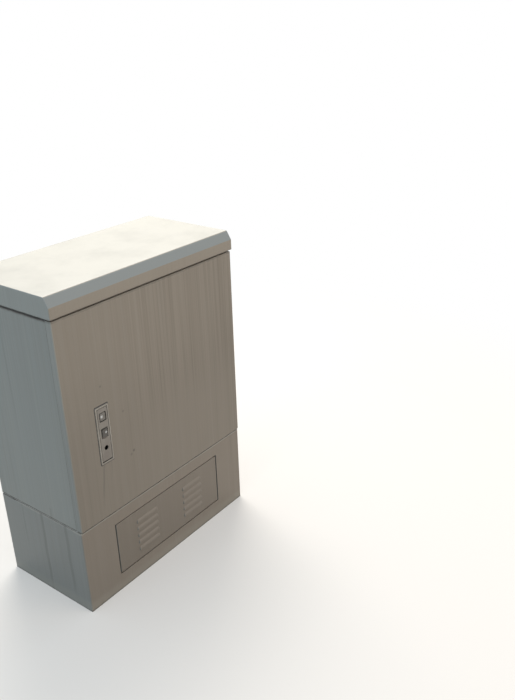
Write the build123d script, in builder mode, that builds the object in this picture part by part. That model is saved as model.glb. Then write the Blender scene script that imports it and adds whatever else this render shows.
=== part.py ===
"""A small roadside fibre distribution cabinet of folded sheet steel.

A skirted base with a louvred access cover carries the body. The body is a wrap of two sides and a
back, closed by a floor, a top, a door frame and a chamfered roof cap. A pan-shaped door hangs on
three side hinges and is shut by a flush lever lock that drives two rods. Inside are two rails with
splice trays, fibre spools, cable clamps and an earth bar.

Origin: centre of the base's underside. +X is right, seen from the front, -Y is the front, +Z is up.
Sizes are in millimetres.
"""

import math
import os

from build123d import *

# Base
base_width = 600.0
base_depth = 305.0
base_height = 240.0
base_sheet = 2.0
base_corner_radius = 3.0
base_flange = 30.0
base_top_flange = 25.0
anchor_radius = 7.0
anchor_edge_distance = 16.0
anchor_spacing_x = 480.0

# Access cover in the front of the base
cover_width = 386.0
cover_bottom = 50.0
cover_top_margin = 40.0
cover_gap = 3.2
cover_sheet = 1.5
cover_depth = 9.0
cover_corner_radius = 3.0
cover_seat_gap = 0.3
cover_tab_width = 32.0
cover_tab_sheet = 2.0
cover_tab_spacing = 250.0
cover_tab_overlap = 15.0
cover_screw_radius = 3.0
louvre_length = 76.0
louvre_height = 10.0
louvre_reach = 3.0
louvre_sheet = 1.2
louvre_pitch = 21.5
louvre_rows = 5
louvre_group_spacing = 174.0

# Body
body_inset = 1.0
body_back_overhang = 1.5
body_height = 552.0
body_sheet = 1.5
body_bend_radius = 3.0
floor_sheet = 2.0
floor_groove = 3.0
plate_flange = 15.0
top_groove = 2.0
grommet_hole_radius = 20.0
grommet_pitch = 80.0
grommet_count = 4
grommet_from_back = 94.0
grommet_lip = 4.0
grommet_lip_height = 3.0
grommet_wall = 2.5
grommet_rise = 14.0

# Door and door frame
door_overhang = 3.0
door_depth = 18.3
door_sheet = 1.5
door_bend_radius = 2.5
door_side_gap = 0.6
door_swing_relief = 1.0
door_bottom_gap = 3.0
door_top_gap = 5.0
frame_border = 20.5
frame_lip = 11.9
gasket_width = 9.0
gasket_seat_gap = 0.3
stiffener_width = 42.0
stiffener_depth = 14.0
stiffener_sheet = 1.2
stiffener_margin = 42.0
pocket_side_gap = 5.5
pocket_height = 150.0
pocket_depth = 24.0
pocket_sheet = 1.2

# Roof
roof_overhang = 3.0
roof_front_overhang = 3.5
roof_fascia = 27.0
roof_chamfer_rise = 23.0
roof_chamfer_run = 14.0
roof_sheet = 1.5
roof_bend_radius = 6.0
roof_fold_radius = 3.0
roof_end_radius = 2.0
roof_flange = 45.0
roof_gasket_thickness = 4.0
roof_gasket_width = 10.0
roof_gasket_inset = 2.5

# Concealed hinges inside the door's right edge
hinge_count = 3
hinge_length = 60.0
hinge_inset = 5.0
hinge_leaf_sheet = 2.0
hinge_leaf_width = 11.0
hinge_barrel_radius = 3.2
hinge_pin_radius = 2.0
hinge_pin_clearance = 0.05
hinge_knuckle_gap = 0.4
hinge_sweep_gap = 0.5
hinge_end_distance = 90.0
hinge_notch_gap = 2.0

# Lock
lock_from_edge = 104.0
lock_width = 40.0
lock_height = 153.0
lock_centre_height = 227.5
lock_rim = 1.7
lock_rim_width = 4.0
lock_corner_radius = 3.0
lock_wall = 2.0
lock_depth = 23.0
lock_cutout_gap = 0.3
handle_side_gap = 1.0
handle_top_gap = 1.5
handle_bottom_gap = 3.0
handle_sheet = 2.5
handle_wall = 2.0
handle_depth = 9.7
handle_pivot_depth = 6.5
handle_pivot_rise = 13.0
handle_pin_radius = 2.0
handle_boss_radius = 4.5
handle_boss_width = 6.0
running_clearance = 0.05
button_width = 16.5
button_height = 20.0
button_gap = 1.9
button_drop = 28.0
button_depth = 17.0
button_stem_radius = 3.0
cylinder_radius = 9.0
cylinder_depth = 16.0
cylinder_drop = 78.0
plug_radius = 6.5
dust_cover_width = 15.0
dust_cover_height = 22.0
dust_cover_sheet = 1.0
dust_recess_margin = 2.6
dust_recess_depth = 1.2
dust_cover_gap = 0.2
dust_cover_rivet_radius = 1.5
key_hole_radius = 6.0
key_hole_drop = 112.0
spindle_radius = 3.6
spindle_recess = 8.0
cam_sheet = 3.0
cam_gap = 0.5
cam_swing = 90.0
rod_pin_arm = 14.0
rod_pin_radius = 2.5
rod_slot_clearance = 0.7
rod_width = 14.0
rod_sheet = 3.0
rod_gap = 0.3
rod_reach = 12.0
guide_height = 10.0
guide_wall = 4.0
guide_clearance = 0.3
keeper_width = 30.0
keeper_height = 16.0

# Equipment inside
rail_width = 30.0
rail_sheet = 2.0
rail_left_x = -200.0
rail_spacing = 320.0
rail_setback = 96.6
rail_depth = 25.0
rail_hole = 8.0
rail_hole_pitch = 25.0
tray_count = 6
tray_height = 30.0
tray_pitch = 50.0
tray_first_height = 190.0
tray_reach_front = 50.0
tray_reach_back = 120.0
tray_sheet = 2.0
adapter_count = 12
adapter_width = 13.0
adapter_height = 10.0
adapter_reach = 14.0
adapter_pitch = 19.0
spool_count = 3
spool_core_radius = 26.0
spool_flange_radius = 37.0
spool_length = 52.0
spool_flange = 3.0
spool_pitch = 100.0
spool_plate_sheet = 2.0
spool_plate_flange = 18.0
clamp_bar_height = 78.0
clamp_bar_width = 30.0
clamp_bar_depth = 25.0
clamp_bar_sheet = 2.0
clamp_width = 26.0
clamp_height = 18.0
clamp_wall = 3.0
clamp_cable_radius = 8.0
earth_setback = 46.6
earth_bar_height = 36.0
earth_bar_width = 20.0
earth_bar_thickness = 5.0
earth_bar_length = 220.0
earth_post_radius = 7.0
earth_bolt_count = 5
earth_bolt_pitch = 30.0
earth_bolt_radius = 3.0

# Places worked out from the sizes above
base_front = -base_depth / 2
side_x = base_width / 2 - body_inset
back_y = base_depth / 2 + body_back_overhang
door_front = base_front - door_overhang
door_skin = door_front + door_sheet
door_back = door_front + door_depth
frame_front = door_back + door_side_gap
floor_top = base_height + floor_sheet
wrap_bottom = base_height + floor_groove
wrap_top = wrap_bottom + body_height - floor_groove - top_groove
top_under = wrap_top + 0.5
top_upper = top_under + body_sheet
roof_bottom = top_upper + roof_gasket_thickness
door_bottom = base_height + door_bottom_gap
door_top = roof_bottom - door_top_gap
inner_x = side_x - body_sheet
inner_back = back_y - body_sheet
opening_x = inner_x - frame_border
opening_bottom = floor_top + frame_border
opening_top = top_under - frame_border
lip_front = frame_front - frame_lip
roof_x = side_x + roof_overhang
roof_y = -door_front + roof_front_overhang

os.makedirs("parts", exist_ok=True)


def block(x, y, z, mode=Mode.ADD):
    """A box between two corners, each given as a pair of low and high values."""
    with Locations(((x[0] + x[1]) / 2, (y[0] + y[1]) / 2, (z[0] + z[1]) / 2)):
        Box(x[1] - x[0], y[1] - y[0], z[1] - z[0], mode=mode)


def save(builder, name):
    """Labels a finished piece and writes it under its own name."""
    builder.part.label = name
    export_step(builder.part, f"parts/{name}.step")


def spread(count, pitch):
    """Places in a row, centred on zero."""
    return [(i - (count - 1) / 2) * pitch for i in range(count)]


# Base: a folded skirt, open at its top and bottom inside the flanges
cover_top = base_height - cover_top_margin
cover_height = cover_top - cover_bottom
cover_centre = (cover_bottom + cover_top) / 2
opening_return = cover_depth - cover_seat_gap
tab_xs = spread(2, cover_tab_spacing)
cover_screw_z = cover_top + cover_gap + base_sheet + cover_tab_overlap / 2
tab_front = base_front + cover_depth
anchor_spacing_y = base_depth - 2 * anchor_edge_distance
base_bolt_xs = (-(base_width / 2 - base_top_flange / 2), base_width / 2 - base_top_flange / 2)
base_bolt_ys = (-base_depth / 4, base_depth / 4)
base_bolt_radius = 4.0

with BuildPart() as base_frame:
    with BuildSketch():
        Rectangle(base_width, base_depth)
        fillet(vertices(), base_corner_radius)
    extrude(amount=base_height)
    fillet(faces().sort_by(Axis.Z)[-1].edges(), base_sheet)
    with BuildSketch(Plane.XY.offset(base_sheet)):
        Rectangle(base_width - 2 * base_sheet, base_depth - 2 * base_sheet)
    extrude(amount=base_height - 2 * base_sheet, mode=Mode.SUBTRACT)
    with BuildSketch():
        Rectangle(base_width - 2 * base_flange, base_depth - 2 * base_flange)
    extrude(amount=base_sheet, mode=Mode.SUBTRACT)
    with BuildSketch(Plane.XY.offset(base_height - base_sheet)):
        Rectangle(base_width - 2 * base_top_flange, base_depth - 2 * base_top_flange)
    extrude(amount=base_sheet, mode=Mode.SUBTRACT)
    with BuildSketch(Plane.XZ.offset(-base_front)):
        with Locations((0, cover_centre)):
            RectangleRounded(
                cover_width + 2 * (cover_gap + base_sheet),
                cover_height + 2 * (cover_gap + base_sheet),
                cover_corner_radius + base_sheet,
            )
    extrude(amount=-opening_return)
    with BuildSketch(Plane.XZ.offset(-base_front)):
        with Locations((0, cover_centre)):
            RectangleRounded(
                cover_width + 2 * cover_gap, cover_height + 2 * cover_gap, cover_corner_radius
            )
    extrude(amount=-opening_return, mode=Mode.SUBTRACT)
    with BuildSketch(Plane.XZ.offset(-base_front - base_sheet)):
        with Locations(*[(x, cover_screw_z) for x in tab_xs]):
            Circle(2 * cover_screw_radius)
    extrude(amount=-(opening_return - base_sheet))
    with BuildSketch(Plane.XZ.offset(-base_front - base_sheet)):
        with Locations(*[(x, cover_screw_z) for x in tab_xs]):
            Circle(cover_screw_radius)
    extrude(amount=-(opening_return - base_sheet), mode=Mode.SUBTRACT)
    with BuildSketch():
        with GridLocations(anchor_spacing_x, anchor_spacing_y, 2, 2):
            Circle(anchor_radius)
    extrude(amount=base_sheet, mode=Mode.SUBTRACT)
    with BuildSketch(Plane.XY.offset(base_height - base_sheet)):
        with Locations(*[(x, y) for x in base_bolt_xs for y in base_bolt_ys]):
            Circle(base_bolt_radius)
    extrude(amount=base_sheet, mode=Mode.SUBTRACT)
save(base_frame, "base_frame")


# Access cover: a shallow pan with two groups of pressed louvres
def louvre_side(start, reach, height, drop):
    """The side view of a louvre, a curved hood that opens downwards, on a plane across it."""
    with BuildSketch(Plane(origin=start, x_dir=(0, -1, 0), z_dir=(-1, 0, 0))) as side_view:
        with BuildLine():
            TangentArc((reach, -height), (0, -drop), tangent=(0, 1))
            Polyline((reach, -height), (0, -height), (0, -drop))
        make_face()
    return side_view.sketch


def louvre_form(reach, height, drop, straight):
    """A louvre's solid form: a straight run with a quarter turn at each end."""
    extrude(louvre_side((straight / 2, 0, 0), reach, height, drop), amount=straight)
    for side in (-1, 1):
        end = (side * straight / 2, 0, 0)
        revolve(louvre_side(end, reach, height, drop), Axis(end, (0, 0, side)), 90)


louvre_straight = louvre_length - 2 * louvre_reach
louvre_slope = 2 * math.atan2(louvre_reach, louvre_height)
louvre_drop = louvre_sheet / math.sin(louvre_slope)
louvre_rise = spread(louvre_rows, louvre_pitch)
louvre_places = [
    (x, base_front, cover_centre + z + louvre_height / 2)
    for x in spread(2, louvre_group_spacing)
    for z in louvre_rise
]

with BuildPart() as louvre_hood:
    louvre_form(louvre_reach, louvre_height, 0, louvre_straight)

with BuildPart() as louvre_hollow:
    louvre_form(louvre_reach - louvre_sheet, louvre_height, louvre_drop, louvre_straight)
    block(
        (-louvre_straight / 2, louvre_straight / 2),
        (-louvre_sheet / 2, cover_sheet),
        (-louvre_height, -louvre_height / 3),
    )

with BuildPart() as access_cover:
    with BuildSketch(Plane.XZ.offset(-base_front)):
        with Locations((0, cover_centre)):
            RectangleRounded(cover_width, cover_height, cover_corner_radius)
    extrude(amount=-cover_depth)
    fillet(faces().sort_by(Axis.Y)[0].edges(), cover_sheet * 0.8)
    with BuildSketch(Plane.XZ.offset(-base_front - cover_sheet)):
        with Locations((0, cover_centre)):
            Rectangle(cover_width - 2 * cover_sheet, cover_height - 2 * cover_sheet)
    extrude(amount=-(cover_depth - cover_sheet), mode=Mode.SUBTRACT)
    with Locations(*louvre_places):
        add(louvre_hood.part)
    with Locations(*louvre_places):
        add(louvre_hollow.part, mode=Mode.SUBTRACT)
    for tab_x in tab_xs:
        across = (tab_x - cover_tab_width / 2, tab_x + cover_tab_width / 2)
        deep = (tab_front, tab_front + cover_tab_sheet)
        reach = cover_gap + base_sheet + cover_tab_overlap
        block(across, deep, (cover_bottom - reach, cover_bottom + cover_tab_overlap))
        block(across, deep, (cover_top - cover_tab_overlap, cover_top + reach))
    with BuildSketch(Plane.XZ.offset(-tab_front)):
        with Locations(*[(x, cover_screw_z) for x in tab_xs]):
            Circle(cover_screw_radius)
    extrude(amount=-cover_tab_sheet, mode=Mode.SUBTRACT)
save(access_cover, "access_cover")

# Two wing screws hold the cover's upper tabs from inside
with BuildPart() as cover_screws:
    for tab_x in tab_xs:
        with Locations((tab_x, tab_front, cover_screw_z)):
            Cylinder(
                cover_screw_radius,
                cover_tab_sheet + cover_depth - 2 * base_sheet,
                rotation=(90, 0, 0),
                align=(Align.CENTER, Align.CENTER, Align.CENTER),
            )
        with Locations((tab_x, tab_front + cover_tab_sheet, cover_screw_z)):
            Cylinder(
                2 * cover_screw_radius,
                cover_screw_radius,
                rotation=(90, 0, 0),
                align=(Align.CENTER, Align.CENTER, Align.MAX),
            )
        block(
            (tab_x - 4 * cover_screw_radius, tab_x + 4 * cover_screw_radius),
            (
                tab_front + cover_tab_sheet + cover_screw_radius / 2,
                tab_front + cover_tab_sheet + 3.5 * cover_screw_radius,
            ),
            (cover_screw_z - cover_screw_radius / 2, cover_screw_z + cover_screw_radius / 2),
        )
save(cover_screws, "cover_wing_screws")

# Body: sides and back from one sheet
with BuildPart() as body_wrap:
    with BuildSketch(Plane.XY.offset(wrap_bottom)):
        with Locations((0, (frame_front + back_y) / 2)):
            Rectangle(2 * side_x, back_y - frame_front)
        fillet(vertices().group_by(Axis.Y)[-1], body_bend_radius)
        with Locations((0, (frame_front + inner_back) / 2)):
            Rectangle(2 * inner_x, inner_back - frame_front, mode=Mode.SUBTRACT)
    extrude(amount=wrap_top - wrap_bottom)
save(body_wrap, "body_wrap")


def flanged_plate(low, high, flange_down):
    """A plate that fills the body's plan, with welded flanges along its sides and back."""
    block((-inner_x, inner_x), (frame_front, inner_back), (low, high))
    tip = low - plate_flange if flange_down else high + plate_flange
    tall = (tip, low) if flange_down else (high, tip)
    behind_frame = frame_front + body_sheet
    for x in ((-inner_x, -inner_x + body_sheet), (inner_x - body_sheet, inner_x)):
        block(x, (behind_frame, inner_back), tall)
    block((-inner_x, inner_x), (inner_back - body_sheet, inner_back), tall)


grommet_y = back_y - grommet_from_back
grommet_places = [(x, grommet_y) for x in spread(grommet_count, grommet_pitch)]

with BuildPart() as floor_plate:
    flanged_plate(base_height, floor_top, flange_down=False)
    with BuildSketch(Plane.XY.offset(base_height)):
        with Locations(*grommet_places):
            Circle(grommet_hole_radius)
        with Locations(*[(x, y) for x in base_bolt_xs for y in base_bolt_ys]):
            Circle(base_bolt_radius)
    extrude(amount=floor_sheet, mode=Mode.SUBTRACT)
save(floor_plate, "floor_plate")

roof_bolt_radius = 3.0
roof_bolt_x = roof_x - roof_sheet - roof_flange / 2
roof_bolt_y = roof_y - roof_sheet - roof_flange + 2 * roof_bolt_radius
roof_bolt_places = [(x, y) for x in (-roof_bolt_x, roof_bolt_x) for y in (-roof_bolt_y, roof_bolt_y)]

with BuildPart() as top_plate:
    flanged_plate(top_under, top_upper, flange_down=True)
    with BuildSketch(Plane.XY.offset(top_under)):
        with Locations(*roof_bolt_places):
            Circle(roof_bolt_radius)
    extrude(amount=body_sheet, mode=Mode.SUBTRACT)
save(top_plate, "top_plate")

# Door frame: a border behind the door, with a lip that meets the gasket
with BuildPart() as door_frame:
    opening_mid = (opening_bottom + opening_top) / 2
    opening_height = opening_top - opening_bottom
    with BuildSketch(Plane.XZ.offset(-frame_front)):
        with Locations((0, (floor_top + top_under) / 2)):
            Rectangle(2 * inner_x, top_under - floor_top)
    extrude(amount=-body_sheet)
    with BuildSketch(Plane.XZ.offset(-frame_front)):
        with Locations((0, opening_mid)):
            Rectangle(2 * (opening_x + body_sheet), opening_height + 2 * body_sheet)
    extrude(amount=frame_lip)
    with BuildSketch(Plane.XZ.offset(-frame_front - body_sheet)):
        with Locations((0, opening_mid)):
            Rectangle(2 * opening_x, opening_height)
    extrude(amount=frame_lip + body_sheet, mode=Mode.SUBTRACT)
save(door_frame, "door_frame")

# Roof cap: the folded profile of its end, closed by end plates
with BuildPart() as roof_cap:
    with BuildSketch(Plane.YZ.offset(-roof_x)):
        with BuildLine():
            Polyline(
                (-roof_y, roof_bottom),
                (-roof_y, roof_bottom + roof_fascia),
                (-roof_y + roof_chamfer_run, roof_bottom + roof_fascia + roof_chamfer_rise),
                (roof_y - roof_chamfer_run, roof_bottom + roof_fascia + roof_chamfer_rise),
                (roof_y, roof_bottom + roof_fascia),
                (roof_y, roof_bottom),
                close=True,
            )
        make_face()
        fillet(vertices().group_by(Axis.Y)[-1], roof_bend_radius)
        fillet(vertices().group_by(Axis.Y)[1], roof_fold_radius)
    extrude(amount=2 * roof_x)
    ends = faces().filter_by(Axis.X).edges()
    fillet(ends - ends.group_by(Axis.Z)[0], roof_end_radius)
    offset(amount=-roof_sheet, openings=faces().sort_by(Axis.Z)[0])
    with BuildSketch(Plane.XY.offset(roof_bottom)):
        Rectangle(2 * (roof_x - roof_sheet), 2 * (roof_y - roof_sheet))
        Rectangle(
            2 * (roof_x - roof_sheet - roof_flange),
            2 * (roof_y - roof_sheet - roof_flange),
            mode=Mode.SUBTRACT,
        )
        with Locations(*roof_bolt_places):
            Circle(roof_bolt_radius, mode=Mode.SUBTRACT)
    extrude(amount=roof_sheet)
save(roof_cap, "roof_cap")

with BuildPart() as roof_gasket:
    gasket_mid_y = (frame_front + inner_back) / 2
    with BuildSketch(Plane.XY.offset(top_upper)):
        with Locations((0, gasket_mid_y)):
            Rectangle(
                2 * (inner_x - roof_gasket_inset), inner_back - frame_front - 2 * roof_gasket_inset
            )
            Rectangle(
                2 * (inner_x - roof_gasket_inset - roof_gasket_width),
                inner_back - frame_front - 2 * (roof_gasket_inset + roof_gasket_width),
                mode=Mode.SUBTRACT,
            )
    extrude(amount=roof_gasket_thickness)
save(roof_gasket, "roof_gasket")


def upright(shape, x, y, low, high, mode=Mode.ADD):
    """A bar with the given section from one height to another."""
    with BuildSketch(Plane.XY.offset(low)) as section:
        with Locations((x, y)):
            if isinstance(shape, tuple):
                RegularPolygon(*shape)
            else:
                Circle(shape)
    extrude(section.sketch, amount=high - low, mode=mode)


def hex_bolt(radius, grip_low, grip_high, head_up):
    """A vertical bolt through a joint between two heights, with its nut on the other side."""
    head = 1.3 * radius
    upright((1.8 * radius, 6), 0, 0, grip_low - head, grip_low)
    upright((1.8 * radius, 6), 0, 0, grip_high, grip_high + head)
    shank_low = grip_low - (head if head_up else 2 * head)
    upright(radius, 0, 0, shank_low, shank_low + grip_high - grip_low + 3 * head)


with BuildPart() as roof_bolt:
    hex_bolt(roof_bolt_radius, top_under, roof_bottom + roof_sheet, head_up=False)

with BuildPart() as roof_bolts:
    with Locations(*roof_bolt_places):
        add(roof_bolt.part)
save(roof_bolts, "roof_bolts")

with BuildPart() as base_bolt:
    hex_bolt(base_bolt_radius, base_height - base_sheet, floor_top, head_up=True)

with BuildPart() as base_bolts:
    with Locations(*[(x, y) for x in base_bolt_xs for y in base_bolt_ys]):
        add(base_bolt.part)
save(base_bolts, "base_bolts")

# Door: a pan with the lock's cut-out and notches that clear the hinges
lock_x = -side_x + lock_from_edge
lock_z = base_height + lock_centre_height
lock_opening = (lock_width - 2 * lock_rim_width, lock_height - 2 * lock_rim_width)
dish_outer = (lock_opening[0] + 2 * lock_wall, lock_opening[1] + 2 * lock_wall)
door_mid_z = (door_bottom + door_top) / 2
hinge_x = side_x - hinge_inset
hinge_y = door_front + hinge_inset
hinge_span = (door_top - door_bottom) - 2 * hinge_end_distance
hinge_zs = [door_mid_z + z for z in spread(hinge_count, hinge_span / (hinge_count - 1))]
hinge_names = ["lower", "middle", "upper"]
notch_half = hinge_length / 2 + hinge_notch_gap

with BuildPart() as door_panel:
    with BuildSketch(Plane.XZ.offset(-door_front)):
        with Locations((0, door_mid_z)):
            Rectangle(2 * side_x, door_top - door_bottom)
    extrude(amount=-door_depth)
    fillet(faces().sort_by(Axis.Y)[0].edges() + edges().filter_by(Axis.Y), door_bend_radius)
    offset(amount=-door_sheet, openings=faces().sort_by(Axis.Y)[-1])
    with BuildSketch(Plane.XZ.offset(-door_front)):
        with Locations((lock_x, lock_z)):
            Rectangle(dish_outer[0] + 2 * lock_cutout_gap, dish_outer[1] + 2 * lock_cutout_gap)
    extrude(amount=-door_sheet, mode=Mode.SUBTRACT)
    for z in hinge_zs:
        block(
            (side_x - 2 * door_sheet, side_x + door_sheet),
            (door_front + door_bend_radius, door_back + door_sheet),
            (z - notch_half, z + notch_half),
            mode=Mode.SUBTRACT,
        )
    block(
        (hinge_x, side_x + door_sheet),
        (door_back - door_swing_relief, door_back + door_sheet),
        (door_bottom, door_top),
        mode=Mode.SUBTRACT,
    )
save(door_panel, "door_panel")

with BuildPart() as door_gasket:
    with BuildSketch(Plane.XZ.offset(-door_skin)):
        with Locations((0, opening_mid)):
            Rectangle(
                2 * opening_x + body_sheet + gasket_width,
                opening_height + body_sheet + gasket_width,
            )
            Rectangle(
                2 * opening_x + body_sheet - gasket_width,
                opening_height + body_sheet - gasket_width,
                mode=Mode.SUBTRACT,
            )
    extrude(amount=-(lip_front - gasket_seat_gap - door_skin))
save(door_gasket, "door_gasket")

# Two hat-section stiffeners inside the door
stiffener_length = opening_height - 2 * stiffener_margin
stiffener_xs = {"left": -0.3 * side_x, "right": 0.58 * side_x}
crown = stiffener_width / 2 - 10
crown_top = crown - 2

for side, stiffener_x in stiffener_xs.items():
    with BuildPart() as door_stiffener:
        start = (stiffener_x, door_skin, opening_mid - stiffener_length / 2)
        with BuildSketch(Plane(origin=start)):
            with BuildLine():
                Polyline(
                    (-stiffener_width / 2, 0),
                    (stiffener_width / 2, 0),
                    (stiffener_width / 2, stiffener_sheet),
                    (crown, stiffener_sheet),
                    (crown_top, stiffener_depth),
                    (-crown_top, stiffener_depth),
                    (-crown, stiffener_sheet),
                    (-stiffener_width / 2, stiffener_sheet),
                    close=True,
                )
            make_face()
            with BuildLine():
                Polyline(
                    (-crown + stiffener_sheet, 0),
                    (crown - stiffener_sheet, 0),
                    (crown_top - stiffener_sheet, stiffener_depth - stiffener_sheet),
                    (-crown_top + stiffener_sheet, stiffener_depth - stiffener_sheet),
                    close=True,
                )
            make_face(mode=Mode.SUBTRACT)
        extrude(amount=stiffener_length)
    save(door_stiffener, f"door_stiffener_{side}")

# Document pocket on the door, open at its top
pocket_x = (stiffener_xs["left"] + stiffener_xs["right"]) / 2
pocket_width = (
    stiffener_xs["right"] - stiffener_xs["left"] - stiffener_width - 2 * pocket_side_gap
)
pocket_bottom = opening_mid - pocket_height / 2

with BuildPart() as document_pocket:
    block(
        (pocket_x - pocket_width / 2, pocket_x + pocket_width / 2),
        (door_skin, door_skin + pocket_depth),
        (pocket_bottom, pocket_bottom + pocket_height),
    )
    fillet(edges().filter_by(Axis.Z).group_by(Axis.Y)[-1], 2)
    offset(amount=-pocket_sheet, openings=faces().sort_by(Axis.Z)[-1])
    with BuildSketch(Plane.XZ.offset(-(door_skin + pocket_depth))):
        with Locations((pocket_x, pocket_bottom + pocket_height)):
            Circle(pocket_height / 5)
    extrude(amount=pocket_sheet, mode=Mode.SUBTRACT)
save(document_pocket, "document_pocket")

# Hinges: one leaf on the door's skin, one on the frame, three knuckles on a pin
knuckle = hinge_length / 3
half_knuckle = knuckle / 2 - hinge_knuckle_gap / 2
outer_knuckles = [
    (-hinge_length / 2, -knuckle / 2 - hinge_knuckle_gap / 2),
    (knuckle / 2 + hinge_knuckle_gap / 2, hinge_length / 2),
]
clear_radius = hinge_barrel_radius + hinge_sweep_gap


def barrel(radius, low, high, mode=Mode.ADD):
    """A round length on the hinge's axis."""
    upright(radius, hinge_x, hinge_y, low, high, mode)


pin_bore = hinge_pin_radius + hinge_pin_clearance

with BuildPart() as door_leaf:
    block(
        (hinge_x - hinge_leaf_width, hinge_x),
        (door_skin, door_skin + hinge_leaf_sheet),
        (-hinge_length / 2, hinge_length / 2),
    )
    for low, high in outer_knuckles:
        barrel(clear_radius, low - hinge_knuckle_gap, high + hinge_knuckle_gap, Mode.SUBTRACT)
    barrel(hinge_barrel_radius, -half_knuckle, half_knuckle)
    barrel(pin_bore, -hinge_length / 2, hinge_length / 2, Mode.SUBTRACT)

foot_front = frame_front - hinge_leaf_sheet

with BuildPart() as body_leaf:
    block(
        (hinge_x - hinge_leaf_width, hinge_x + hinge_leaf_sheet / 2),
        (foot_front, frame_front),
        (-hinge_length / 2, hinge_length / 2),
    )
    for low, high in outer_knuckles:
        block(
            (hinge_x - hinge_leaf_sheet / 2, hinge_x + hinge_leaf_sheet / 2),
            (hinge_y, frame_front),
            (low, high),
        )
        barrel(hinge_barrel_radius, low, high)
    barrel(pin_bore, -hinge_length / 2, hinge_length / 2, Mode.SUBTRACT)

with BuildPart() as hinge_pin:
    barrel(hinge_pin_radius, -hinge_length / 2, hinge_length / 2)
    barrel(hinge_pin_radius + 1, hinge_length / 2, hinge_length / 2 + 1.5)

for name, z in zip(hinge_names, hinge_zs):
    for piece, word in ((door_leaf, "door_leaf"), (body_leaf, "frame_leaf")):
        with BuildPart() as hinge_piece:
            with Locations((0, 0, z)):
                add(piece.part)
        save(hinge_piece, f"hinge_{name}_{word}")

with BuildPart() as hinge_pins:
    with Locations(*[(0, 0, z) for z in hinge_zs]):
        add(hinge_pin.part)
save(hinge_pins, "hinge_pins")

# Lock heights and depths
lock_top = lock_z + lock_height / 2
button_z = lock_top - button_drop
cylinder_z = lock_top - cylinder_drop
spindle_z = lock_top - key_hole_drop
rivet_z = cylinder_z + cylinder_radius + 2 + 2 * dust_cover_rivet_radius
lock_front = door_front - lock_rim
dish_back = door_front + lock_depth
dish_floor = dish_back - lock_wall
handle_width = lock_opening[0] - 2 * handle_side_gap
handle_bottom = lock_z - lock_opening[1] / 2 + handle_bottom_gap
handle_top = lock_z + lock_opening[1] / 2 - handle_top_gap
handle_axis_y = lock_front + handle_pivot_depth
handle_axis_z = handle_bottom + handle_pivot_rise
handle_back = lock_front + handle_depth
plate_back = lock_front + handle_sheet
cam_front = dish_back + cam_gap
cam_back = cam_front + cam_sheet
rod_front = cam_back + rod_gap
rod_back = rod_front + rod_sheet


def plate(width, height, x, z, front, depth, radius=0.0, mode=Mode.ADD):
    """A plate facing the front, from its front plane backwards."""
    with BuildSketch(Plane.XZ.offset(-front)) as outline:
        with Locations((x, z)):
            if radius:
                RectangleRounded(width, height, radius)
            else:
                Rectangle(width, height)
    extrude(outline.sketch, amount=-depth, mode=mode)


def shaft(radius, x, z, front, back, mode=Mode.ADD):
    """A round length from front to back."""
    with BuildSketch(Plane.XZ.offset(-front)) as section:
        with Locations((x, z)):
            Circle(radius)
    extrude(section.sketch, amount=-(back - front), mode=mode)


def cross_shaft(radius, low_x, high_x, mode=Mode.ADD):
    """A round length from left to right, on the handle's axis."""
    with BuildSketch(Plane.YZ.offset(low_x)) as section:
        with Locations((handle_axis_y, handle_axis_z)):
            Circle(radius)
    extrude(section.sketch, amount=high_x - low_x, mode=mode)


dust_cover_mid = rivet_z + 2.5 * dust_cover_rivet_radius - dust_cover_height / 2


# Lock frame: a rim on the door's face around a deep dish
with BuildPart() as lock_frame:
    plate(lock_width, lock_height, lock_x, lock_z, lock_front, lock_rim, lock_corner_radius)
    fillet(faces().sort_by(Axis.Y)[0].edges(), lock_rim / 2)
    plate(*dish_outer, lock_x, lock_z, door_front, lock_depth)
    plate(*lock_opening, lock_x, lock_z, lock_front, dish_floor - lock_front, 1.5, Mode.SUBTRACT)
    cross_shaft(handle_pin_radius, lock_x - lock_width, lock_x + lock_width, Mode.SUBTRACT)
    shaft(
        spindle_radius + running_clearance, lock_x, spindle_z, dish_floor, dish_back, Mode.SUBTRACT
    )
    shaft(
        button_stem_radius + running_clearance, lock_x, button_z, dish_floor, dish_back,
        Mode.SUBTRACT,
    )
save(lock_frame, "lock_frame")

# Handle: a flush lever with folded sides and two bosses on its pin
with BuildPart() as lock_handle:
    handle_height = handle_top - handle_bottom
    handle_mid = (handle_top + handle_bottom) / 2
    plate(handle_width, handle_height, lock_x, handle_mid, lock_front, handle_depth, 1.5)
    fillet(faces().sort_by(Axis.Y)[0].edges(), 0.8)
    plate(
        handle_width - 2 * handle_wall,
        handle_height - 2 * handle_wall,
        lock_x,
        handle_mid,
        plate_back,
        handle_depth,
        mode=Mode.SUBTRACT,
    )
    for side in (-1, 1):
        near = lock_x + side * handle_width / 2
        far = near - side * handle_boss_width
        cross_shaft(handle_boss_radius, min(near, far), max(near, far))
    plate(
        button_width + 2 * button_gap,
        button_height + 2 * button_gap,
        lock_x,
        button_z,
        lock_front,
        handle_sheet,
        2.0,
        Mode.SUBTRACT,
    )
    shaft(key_hole_radius, lock_x, spindle_z, lock_front, plate_back, Mode.SUBTRACT)
    plate(
        dust_cover_width + 2 * dust_recess_margin,
        dust_cover_height + 2 * dust_recess_margin,
        lock_x,
        dust_cover_mid,
        lock_front,
        dust_recess_depth,
        2.0,
        Mode.SUBTRACT,
    )
    shaft(cylinder_radius, lock_x, cylinder_z, lock_front, plate_back, Mode.SUBTRACT)
    shaft(dust_cover_rivet_radius, lock_x, rivet_z, lock_front, plate_back, Mode.SUBTRACT)
    cross_shaft(
        handle_pin_radius + running_clearance, lock_x - lock_width, lock_x + lock_width,
        Mode.SUBTRACT,
    )
save(lock_handle, "lock_handle")

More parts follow.
